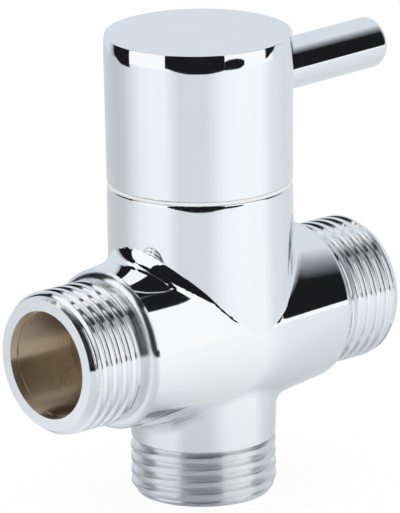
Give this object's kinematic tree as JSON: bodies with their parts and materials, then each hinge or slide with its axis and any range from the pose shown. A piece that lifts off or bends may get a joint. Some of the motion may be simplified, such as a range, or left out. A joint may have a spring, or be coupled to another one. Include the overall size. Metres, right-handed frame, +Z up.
{
  "type": "shower diverter valve",
  "caption": "Chrome brass shower diverter: a tee body with male threaded pipe ends and a round cap with a side lever that turns an inner spool from one side port to the other.",
  "frame": {"origin": "centre of the foot port's end face, on the spool axis", "axes": "+Z up along the spool axis, +X along the right side port's axis, which the lever points along at rest"},
  "size_m": [0.0651, 0.0272, 0.0682],
  "materials": {
    "chrome_plate": "mirror bright plating outside, bare brown brass in the bores",
    "bare_brass": "turned, satin",
    "black_rubber": "matte",
    "white_plastic": "smooth",
    "hard_steel": "satin"
  },
  "bodies": {
    "valve": {"valve_body": "chrome_plate", "bonnet_nut": "bare_brass", "bonnet_oring": "black_rubber", "stop_pin": "hard_steel", "thrust_washer": "white_plastic", "bearing_ring": "white_plastic", "glide_ring": "white_plastic"},
    "handle": {"handle_cap": "chrome_plate", "lever_rod": "chrome_plate", "handle_set_screw": "hard_steel", "spline_adapter": "white_plastic", "diverter_spool": "bare_brass", "spool_oring_upper": "black_rubber", "spool_oring_lower": "black_rubber", "stem_oring_upper": "black_rubber", "stem_oring_lower": "black_rubber", "spindle_circlip": "hard_steel", "seal_button": "black_rubber"}
  },
  "joints": [
    {"name": "handle_turn", "type": "hinge", "parent": "valve", "child": "handle", "pos_m": [0, 0, 0.0247], "axis": [0, 0, 1], "range_deg": [-186, 0]}
  ]
}
